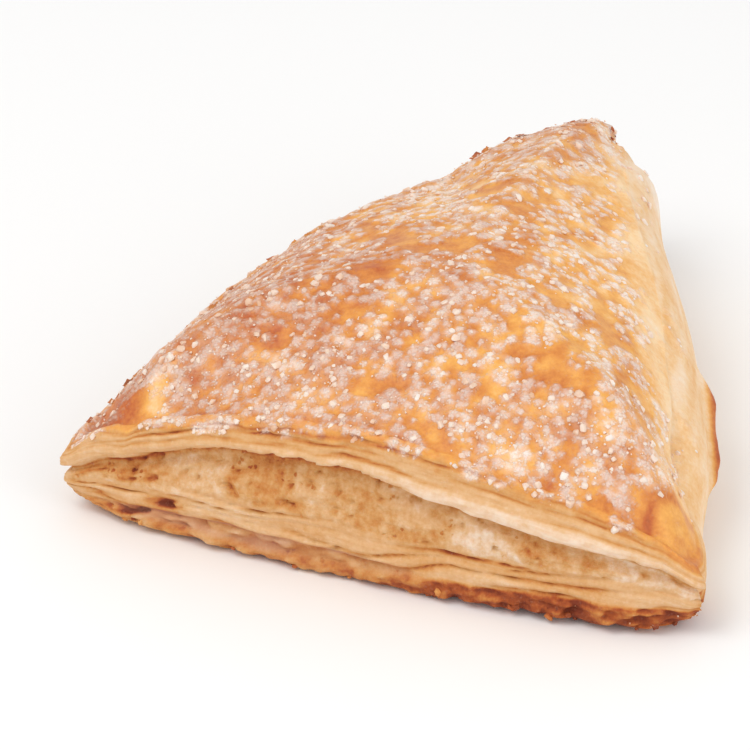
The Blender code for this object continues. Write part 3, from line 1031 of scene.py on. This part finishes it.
class Nodes:  # a short way to add and join nodes
    def __init__(self, nodeTree):
        self.tree = nodeTree

    def add(self, kind, **settings):
        node = self.tree.nodes.new(kind)
        for name, value in settings.items():
            setattr(node, name, value)
        return node

    def put(self, value, socket):  # joins another node's socket, or sets a plain value
        if isinstance(value, bpy.types.NodeSocket):
            self.tree.links.new(value, socket)
        else:
            socket.default_value = value

    def feed(self, node, **values):  # sockets by name, with _ for a space
        for name, value in values.items():
            self.put(value, node.inputs[name.replace("_", " ")])
        return node

    def maths(self, a, operation, b):
        node = self.add("ShaderNodeMath", operation=operation)
        self.put(a, node.inputs[0])
        self.put(b, node.inputs[1])
        return node.outputs[0]

    def plus(self, a, b):
        return self.maths(a, "ADD", b)

    def minus(self, a, b):
        return self.maths(a, "SUBTRACT", b)

    def times(self, a, b):
        return self.maths(a, "MULTIPLY", b)

    def value(self, name):  # a value painted on the mesh
        return self.add("ShaderNodeAttribute", attribute_name=name).outputs["Fac"]

    def place(self):
        return self.add("ShaderNodeTexCoord").outputs["Object"]

    def spread(self, source, low, high, newLow=0.0, newHigh=1.0):
        node = self.add("ShaderNodeMapRange", interpolation_type="SMOOTHSTEP")
        self.feed(node, Value=source, From_Min=low, From_Max=high, To_Min=newLow, To_Max=newHigh)
        return node.outputs["Result"]

    def noise(self, vector, scale, detail=3.0, roughness=0.5):
        node = self.add("ShaderNodeTexNoise")
        self.feed(node, Vector=vector, Scale=scale, Detail=detail, Roughness=roughness)
        return node.outputs["Fac"]

    def waves(self, vector, scale, detail=3.0, roughness=0.5):  # noise about 0
        return self.minus(self.noise(vector, scale, detail, roughness), 0.5)

    def cells(self, vector, scale):
        node = self.add("ShaderNodeTexVoronoi", feature="F1")
        return self.feed(node, Vector=vector, Scale=scale, Randomness=1.0).outputs["Distance"]

    def ramp(self, source, tones):
        node = self.add("ShaderNodeValToRGB")
        stops = node.color_ramp.elements
        while len(stops) < len(tones):
            stops.new(1.0)
        for stop, (at, colour) in zip(stops, tones):
            stop.position = at
            stop.color = colour
        return self.feed(node, Fac=source).outputs["Color"]

    def blend(self, a, b, share):
        node = self.add("ShaderNodeMix", data_type="RGBA")
        for value, number in ((share, 0), (a, 6), (b, 7)):
            self.put(value, node.inputs[number])
        return node.outputs[2]

    def group(self, tree, **values):
        return self.feed(self.add("ShaderNodeGroup", node_tree=tree), **values).outputs

    def bump(self, strength, distance, height):
        node = self.add("ShaderNodeBump")
        return self.feed(node, Strength=strength, Distance=distance, Height=height).outputs["Normal"]


def newGroup(name, inputs, outputs):
    group = bpy.data.node_groups.new(name, "ShaderNodeTree")
    for label, start in inputs:
        socket = group.interface.new_socket(name=label, in_out="INPUT", socket_type="NodeSocketFloat")
        socket.default_value = start
    for label, kind in outputs:
        group.interface.new_socket(name=label, in_out="OUTPUT", socket_type=kind)
    n = Nodes(group)
    return group, n, n.add("NodeGroupInput").outputs, n.add("NodeGroupOutput")


def bakingGroup():  # the colour of baked dough, from how browned it is
    inputs = (("Bake", 0.4), ("Cut", 0.0), ("Mottle", 0.2))
    group, n, given, made = newGroup("baking", inputs, (("Color", "NodeSocketColor"),))
    place = n.place()
    both = n.plus(n.waves(place, 420.0, 4.0, 0.6), n.times(n.waves(place, 1500.0, 2.0, 0.5), 0.5))
    shifted = n.plus(given["Bake"], n.times(both, given["Mottle"]))
    n.feed(made, Color=n.blend(n.ramp(shifted, crustTones), n.ramp(shifted, doughTones), given["Cut"]))
    return group


def grainGroup():  # the small relief of baked dough
    inputs = (("Cut", 0.0), ("Open", 0.0), ("Level", 0.0))
    outputs = (("Height", "NodeSocketFloat"), ("Lines", "NodeSocketFloat"))
    group, n, given, made = newGroup("fineRelief", inputs, outputs)
    place = n.place()
    parts = n.add("ShaderNodeSeparateXYZ")
    n.put(place, parts.inputs[0])
    leafSpace = n.add("ShaderNodeCombineXYZ")  # wide along a leaf and thin across it
    n.put(n.times(parts.outputs[0], 170.0), leafSpace.inputs[0])
    n.put(n.times(parts.outputs[1], 170.0), leafSpace.inputs[1])
    n.put(n.times(given["Level"], 1500.0), leafSpace.inputs[2])
    closed = n.minus(1.0, given["Open"])
    lines = n.times(n.waves(leafSpace.outputs[0], 1.0, 3.0, 0.55), closed)
    cutHeight = n.plus(n.times(lines, 0.7), n.times(n.noise(place, 1700.0, 4.0, 0.6), 0.5))
    mixed = n.add("ShaderNodeMix", data_type="FLOAT")
    n.put(given["Cut"], mixed.inputs[0])
    n.put(n.times(n.noise(place, 900.0, 4.0, 0.6), 0.8), mixed.inputs[2])
    n.put(cutHeight, mixed.inputs[3])
    n.feed(made, Height=mixed.outputs[0], Lines=lines)
    return group


bakingTone = bakingGroup()
fineRelief = grainGroup()


def newMaterial(name):
    material = bpy.data.materials.new(name)
    material.use_nodes = True
    n = Nodes(material.node_tree)
    return material, n, material.node_tree.nodes["Principled BSDF"]


def bentPlace(n, place):  # object coordinates with small bends, so that cells aren't straight
    bend = n.feed(n.add("ShaderNodeTexNoise"), Vector=place, Scale=900.0, Detail=2.0)
    bent = n.add("ShaderNodeMix", data_type="VECTOR")
    bent.inputs[0].default_value = 0.0012
    n.put(place, bent.inputs[4])
    n.put(bend.outputs["Color"], bent.inputs[5])
    return bent.outputs[1]


def doughMaterial():
    material, n, shader = newMaterial("bakedDough")
    place = n.place()
    bent = bentPlace(n, place)
    cut, openness = n.value("cut"), n.value("open")
    relief = n.group(fineRelief, Cut=cut, Open=openness, Level=n.value("level"))
    lines = n.times(relief["Lines"], n.times(cut, 0.26))
    granules = n.times(n.waves(place, 800.0, 3.0, 0.6), openness)
    lines = n.plus(lines, n.times(granules, 0.56))

    # pits of the open crumb
    chosen = n.spread(n.noise(place, 260.0, 1.0), 0.60, 0.66)
    pits = n.times(n.times(n.spread(n.cells(bent, 760.0), 0.36, 0.20), chosen), openness)
    bake = n.plus(n.plus(n.value("bake"), lines), n.times(pits, 0.26))
    tone = n.group(bakingTone, Bake=bake, Cut=cut, Mottle=0.34)["Color"]
    # mauve painted shade in the hollows of the cut sides
    colour = n.blend(tone, mauveShadeTone, n.times(n.value("mauveShade"), 0.75))

    # melted sugar: pale, and paler towards the middle of each lump
    gaps = n.spread(n.cells(bent, 1350.0), 0.22, 0.62)
    frost = n.minus(n.times(n.waves(place, 1300.0, 3.0, 0.6), 1.1), n.times(gaps, 0.36))
    lump = n.plus(n.times(n.value("veil"), 1.25), n.plus(frost, 0.17))
    core = n.times(n.spread(lump, 0.62, 1.30), 0.85)
    haze = n.times(n.spread(n.value("sugar"), 0.55, 1.1), 0.46)
    haze = n.times(haze, n.spread(n.noise(place, 700.0, 2.0), 0.35, 0.65))
    veil = n.maths(n.times(n.spread(lump, 0.0, 1.1), 0.82), "MAXIMUM", haze)
    colour = n.blend(colour, n.ramp(n.value("bake"), meltedTones), veil)
    colour = n.blend(colour, n.ramp(n.value("bake"), whitestTones), core)

    grit = n.times(n.minus(n.noise(place, 2300.0, 2.0, 0.6), n.times(gaps, 0.9)), veil)
    height = n.plus(n.times(relief["Height"], 0.45), n.plus(n.times(veil, 0.5), grit))
    height = n.minus(height, n.times(pits, 0.8))
    crumbly = n.times(n.noise(place, 1100.0, 4.0, 0.65), n.times(openness, 1.7))
    dull = n.spread(n.plus(cut, n.times(veil, 0.3)), 0.0, 1.0, 0.42, 0.72)
    grain = n.bump(0.5, 0.0006, n.plus(height, crumbly))
    n.feed(shader, Base_Color=colour, Roughness=dull, Normal=grain)
    n.feed(shader, Specular_IOR_Level=0.4, Subsurface_Weight=0.12)
    n.feed(shader, Subsurface_Radius=(1.0, 0.5, 0.25), Subsurface_Scale=0.002)
    return material


def sugarMaterial():
    material, n, shader = newMaterial("sugarCrystal")
    place = n.place()
    tone = n.plus(n.value("tone"), n.times(n.waves(place, 900.0, 2.0), 0.4))
    n.feed(shader, Base_Color=n.ramp(tone, crystalTones))
    n.feed(shader, Normal=n.bump(0.3, 0.0002, n.noise(place, 2600.0, 2.0)))
    n.feed(shader, Roughness=0.28, IOR=1.5, Transmission_Weight=0.08, Subsurface_Weight=0.25)
    n.feed(shader, Subsurface_Radius=(1.0, 0.7, 0.5), Subsurface_Scale=0.001)
    return material


def crumbMaterial():
    material, n, shader = newMaterial("bakedCrumb")
    tone = n.group(bakingTone, Bake=n.plus(n.value("tone"), 0.30), Cut=0.6, Mottle=0.5)["Color"]
    grain = n.bump(0.5, 0.0003, n.noise(n.place(), 2400.0))
    n.feed(shader, Base_Color=tone, Normal=grain, Roughness=0.65)
    return material


def flakeMaterial():
    material, n, shader = newMaterial("pastryLeaf")
    tone = n.group(bakingTone, Bake=n.value("tone"), Cut=0.5, Mottle=0.4)["Color"]
    grain = n.bump(0.4, 0.0003, n.noise(n.place(), 1500.0))
    n.feed(shader, Base_Color=tone, Normal=grain, Roughness=0.5)
    n.feed(shader, Subsurface_Weight=0.2, Subsurface_Radius=(1.0, 0.5, 0.25), Subsurface_Scale=0.001)
    return material


# Thin leaves that came loose at the edges

looseLeaf = {
    "kinds": 3,
    "size": (6 * mm, 3 * mm),
    "ragged": 0.5 * mm,
    "thickness": 0.16 * mm,
    "seed": 12,
    # side, shares between which they lie, rows between which they lie as shares of the height,
    # how many, browning, and size against the sheet's own
    "places": (
        (2, (0.02, 0.30), (0.985, 1.0), 9, 0.76, (0.20, 0.45)),
        (2, (0.30, 0.85), (0.985, 1.0), 12, 0.66, (0.15, 0.34)),
        (2, (0.85, 0.97), (0.985, 1.0), 7, 0.74, (0.15, 0.36)),
    ),
}


def leafShape(seed):  # a small ragged sheet
    nothingSelected()
    bpy.ops.mesh.primitive_grid_add(x_subdivisions=5, y_subdivisions=3, size=1)
    piece = bpy.context.object
    bpy.ops.object.mode_set(mode="EDIT")
    bpy.ops.mesh.select_all(action="SELECT")
    bpy.ops.transform.resize(value=(*looseLeaf["size"], 1))
    bpy.ops.transform.vertex_random(offset=looseLeaf["ragged"], seed=seed)
    bpy.ops.object.mode_set(mode="OBJECT")
    solid = piece.modifiers.new("thickness", "SOLIDIFY")
    solid.thickness = looseLeaf["thickness"]
    bpy.ops.object.modifier_apply(modifier=solid.name)
    return takeMesh(piece)


def looseLeaves(sides):
    s = looseLeaf
    draw = random.Random(s["seed"])
    shapes = [leafShape(n) for n in range(s["kinds"])]
    parts = []
    for side, (first, last), heights, count, brown, sizes in s["places"]:
        here = (outline["side"] == side) & (outline["share"] > first) & (outline["share"] < last)
        stations = np.nonzero(here)[0].tolist()
        for _ in range(count):
            points, faces = draw.choice(shapes)
            i = draw.choice(stations)
            row = sides[round((len(sides) - 1) * draw.uniform(*heights))]
            along = row[(i + 2) % len(row)] - row[i - 2]
            along = along / np.linalg.norm(along)
            outwards = np.array((along[1], -along[0], 0.0))
            outwards /= np.linalg.norm(outwards)
            up = np.cross(outwards, along)
            up = up if up[2] > 0 else -up
            laid = points * draw.uniform(*sizes)
            turn = draw.uniform(-0.35, 0.35)
            x = laid[:, 0] * math.cos(turn) - laid[:, 1] * math.sin(turn)
            y = laid[:, 0] * math.sin(turn) + laid[:, 1] * math.cos(turn)
            # curled across and along, then tipped
            z = laid[:, 2] + draw.uniform(20, 60) * (y + 0.4 * mm) ** 2 + draw.uniform(-12, 22) * x**2
            z = z + draw.uniform(-0.35, 0.25) * y
            base = row[i] - outwards * draw.uniform(-0.1, 0.5) * mm + up * draw.uniform(0.0, 0.25) * mm
            lying = base + x[:, None] * along + y[:, None] * outwards + z[:, None] * up
            parts.append((lying, faces, brown + draw.gauss(0, 0.08) + 0.15 * ease(y, 0, 1.2 * mm)))
    piece = joinedPiece("looseLeaves", parts)
    onlySelected(piece)
    bpy.ops.object.shade_smooth_by_angle(angle=math.radians(50))
    return piece


# Floor, light and camera

studio = {
    "azimuth": -4.0,
    "elevation": 29.0,
    "distance": 1.0,
    "lens": 272.0,
    "aim": (-0.001, 0.0, 0.0135),
    "floorSize": 8,
    "floorTone": (0.93, 0.93, 0.93, 1),
    "skyLight": 0.78,
    # soft lamps: name, place, size, power and tint
    "lamps": (
        ("key", (-0.45, -0.25, 0.80), 0.55, 3.0, (1.0, 0.98, 0.95)),
        ("fill", (0.60, -0.55, 0.45), 0.70, 1.7, (1.0, 0.99, 0.97)),
    ),
}


def hang(name, data, place, facing):  # a lamp or camera at its place, looking along facing
    holder = bpy.data.objects.new(name, data)
    holder.location = place
    holder.rotation_euler = facing.to_track_quat("-Z", "Y").to_euler()
    bpy.context.scene.collection.objects.link(holder)
    return holder


def floorAndLight():
    bpy.ops.mesh.primitive_plane_add(size=studio["floorSize"])
    floor = bpy.context.object
    floor.name = "floor"
    material, n, shader = newMaterial("paleFloor")
    n.feed(shader, Base_Color=studio["floorTone"], Roughness=0.8)
    floor.data.materials.append(material)

    world = bpy.data.worlds.new("studioSky")
    bpy.context.scene.world = world
    world.use_nodes = True
    sky = world.node_tree.nodes["Background"]
    sky.inputs["Color"].default_value = (1.0, 1.0, 1.0, 1)
    sky.inputs["Strength"].default_value = studio["skyLight"]
    for name, place, size, power, tint in studio["lamps"]:
        lamp = bpy.data.lights.new(name, "AREA")
        lamp.size = size
        lamp.energy = power
        lamp.color = tint
        hang(name, lamp, place, -Vector(place))
    say("floor and light set")


def camera():
    s = studio
    a, e = math.radians(s["azimuth"]), math.radians(s["elevation"])
    back = Vector((math.sin(a) * math.cos(e), -math.cos(a) * math.cos(e), math.sin(e)))
    data = bpy.data.cameras.new("camera")
    data.lens = s["lens"]
    data.sensor_width = 36
    holder = hang("camera", data, Vector(s["aim"]) + back * s["distance"], -back)
    bpy.context.scene.camera = holder
    bpy.context.scene.view_settings.view_transform = "Standard"


camera()
floorAndLight()
dough, sides = makePastry()
dough.data.materials.append(doughMaterial())
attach(dough, "root")
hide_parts("pastry")

# where grains may lie, and how thickly
faces = crustFaces(dough)
spots = faces["center"]
onCut = (faces["cut"] > 0.5) & (np.abs(faces["normal"][:, 2]) < 0.8)
low = (spots[:, 2] < 2.4 * mm) & onCut
patches = ease(drift(spots, 7, 70), -0.1, 0.8)
burnt = closeTo(spots, "far", 7) * (faces["normal"][:, 2] > 0.35)
fallen = closeTo(spots, "near", 16) * ((spots[:, 2] < 4.5 * mm) & onCut)
onLumps = np.clip(faces["veil"], 0, 1) ** 0.7 * (faces["sugar"] > 0.02)
onSugar = np.clip(faces["sugar"], 0, None) ** 1.2
kinds = (
    ("coarseSugar", crystal, coarseSugar, onLumps),
    ("fineSugar", bead, fineSugar, onSugar + 0.5 * fallen),
    ("pastryCrumbs", crystal, crumbs, low * (0.06 + patches)),
    ("burntBits", crystal, burntBits, burnt),
)
sugar, crumb = sugarMaterial(), crumbMaterial()
for name, shape, settings, weights in kinds:
    piece = strew(name, shape(), scatter(settings, faces, weights), settings)
    piece.data.materials.append(sugar if "Sugar" in name else crumb)
    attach(piece, "root")

loose = looseLeaves(sides)
loose.data.materials.append(flakeMaterial())
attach(loose, "root")
